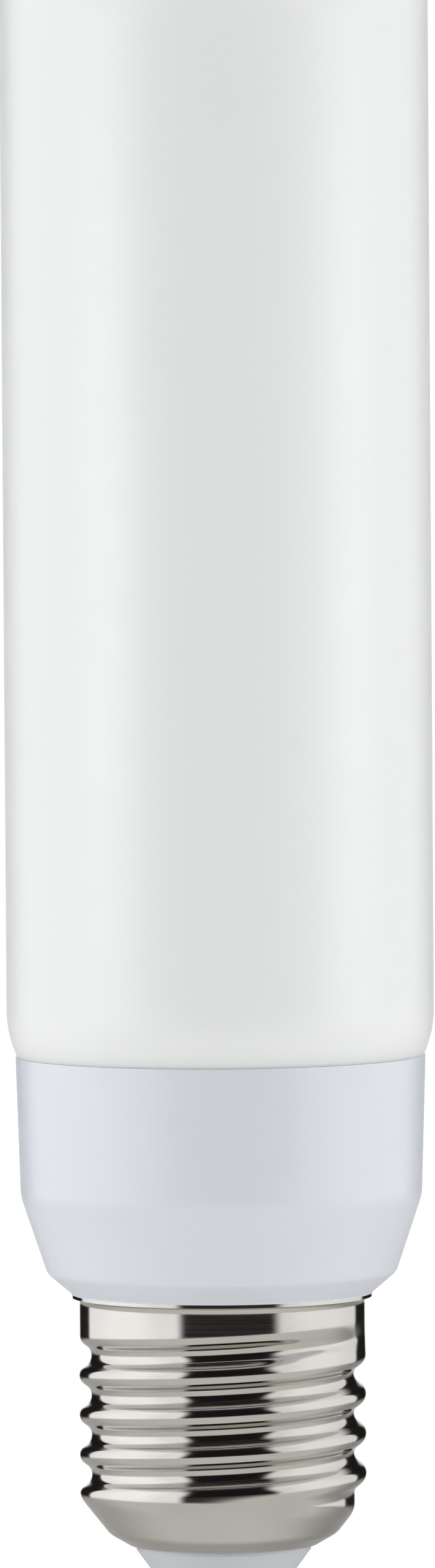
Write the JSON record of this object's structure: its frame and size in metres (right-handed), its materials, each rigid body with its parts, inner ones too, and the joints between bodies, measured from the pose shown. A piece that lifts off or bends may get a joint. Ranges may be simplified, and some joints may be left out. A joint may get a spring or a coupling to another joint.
{
  "type": "tubular light bulb",
  "caption": "Sealed lamp with a straight opal tube, a softly domed end, a tapered white base and a threaded metal cap, screwed into a lamp holder to give diffuse light.",
  "frame": {"origin": "middle of the centre contact's outer face, at the cap end of the lamp", "axes": "+Z along the lamp's axis, from the cap to the closed end of the tube; the thread's groove runs out under the collar at +X"},
  "size_m": [0.039, 0.039, 0.156],
  "materials": {
    "opal": "satin translucent opal",
    "housing_plastic": "smooth moulded, cool white",
    "nickel_plate": "bright nickel plate with fine drawing marks",
    "insulator_plastic": "smooth moulded",
    "contact_metal": "plated contact plate"
  },
  "bodies": {
    "root": {"opal_tube": "opal", "base_housing": "housing_plastic", "screw_shell": "nickel_plate", "insulator": "insulator_plastic", "centre_contact": "contact_metal"}
  },
  "joints": []
}
